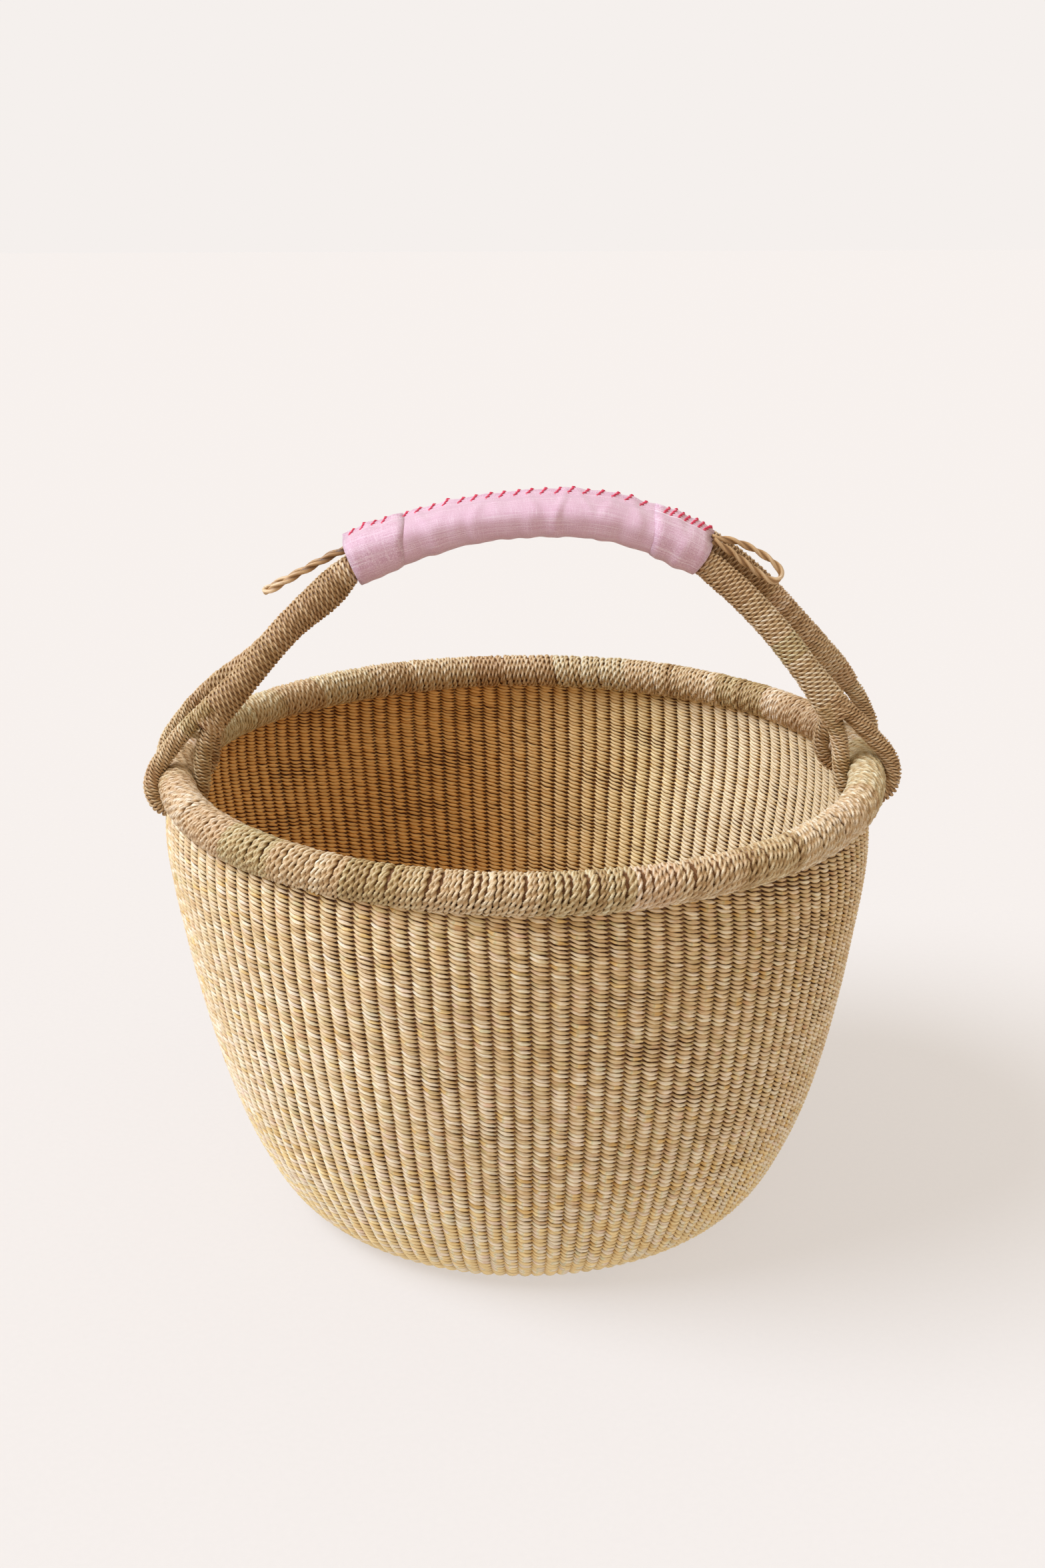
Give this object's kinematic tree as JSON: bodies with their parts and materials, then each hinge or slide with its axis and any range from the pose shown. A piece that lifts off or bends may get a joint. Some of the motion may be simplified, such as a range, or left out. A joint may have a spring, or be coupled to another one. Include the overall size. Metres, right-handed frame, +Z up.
{
  "type": "woven market basket",
  "caption": "Round twined grass basket with a cord-wrapped rim, an arched handle that forks over the rim at each foot, and a stitched pink cloth grip with a small cord loop at each end.",
  "frame": {"origin": "centre of the flat base, on the surface that the basket stands on", "axes": "+Z up, +X along the handle's span towards the open tie loop, +Y away from the front strand"},
  "size_m": [0.4172, 0.4, 0.4007],
  "materials": {
    "stake_straw": "matt dried grass stems",
    "weave_straw": "twisted dried grass straw, matt with a faint sheen, straw to tan with greenish and grey streaks",
    "rim_cord": "two-ply twisted grass cord, golden brown in bands",
    "handle_cord": "two-ply twisted grass cord, wrapped close",
    "tie_cord": "two-ply twisted grass cord",
    "pink_cloth": "plain-weave lilac-pink cotton with white slubs, soft creases",
    "coral_thread": "thick coral-red sewing thread"
  },
  "bodies": {
    "basket": {"base_cross": "stake_straw", "base_stakes": "stake_straw", "base_weave_under": "weave_straw", "base_weave_upper": "weave_straw", "wall_stakes": "stake_straw", "corner_weave_outside": "weave_straw", "corner_weave_inside": "weave_straw", "lower_weave_outside": "weave_straw", "lower_weave_inside": "weave_straw", "upper_weave_outside": "weave_straw", "upper_weave_inside": "weave_straw", "rim_core": "stake_straw", "rim_wrap": "rim_cord", "front_strand_core": "stake_straw", "front_strand_wrap": "handle_cord", "rear_strand_core": "stake_straw", "rear_strand_wrap": "handle_cord", "front_left_outer_leg": "handle_cord", "front_left_inner_leg": "handle_cord", "front_right_outer_leg": "handle_cord", "front_right_inner_leg": "handle_cord", "rear_left_outer_leg": "handle_cord", "rear_left_inner_leg": "handle_cord", "rear_right_outer_leg": "handle_cord", "rear_right_inner_leg": "handle_cord", "grip_binding": "handle_cord", "grip_sleeve": "pink_cloth", "left_cuff": "pink_cloth", "right_cuff": "pink_cloth", "seam_thread": "coral_thread", "left_cuff_thread": "coral_thread", "right_cuff_thread": "coral_thread"},
    "left_tie": {"left_tie_loop": "tie_cord"},
    "right_tie": {"right_tie_loop": "tie_cord"}
  },
  "joints": [
    {"name": "left_tie_swing", "type": "hinge", "parent": "basket", "child": "left_tie", "pos_m": [-0.0965, 0, 0.3702], "axis": [0, 1, 0], "range_deg": [-4, 30]},
    {"name": "right_tie_swing", "type": "hinge", "parent": "basket", "child": "right_tie", "pos_m": [0.1043, 0, 0.3722], "axis": [0, -1, 0], "range_deg": [-3, 30]}
  ]
}
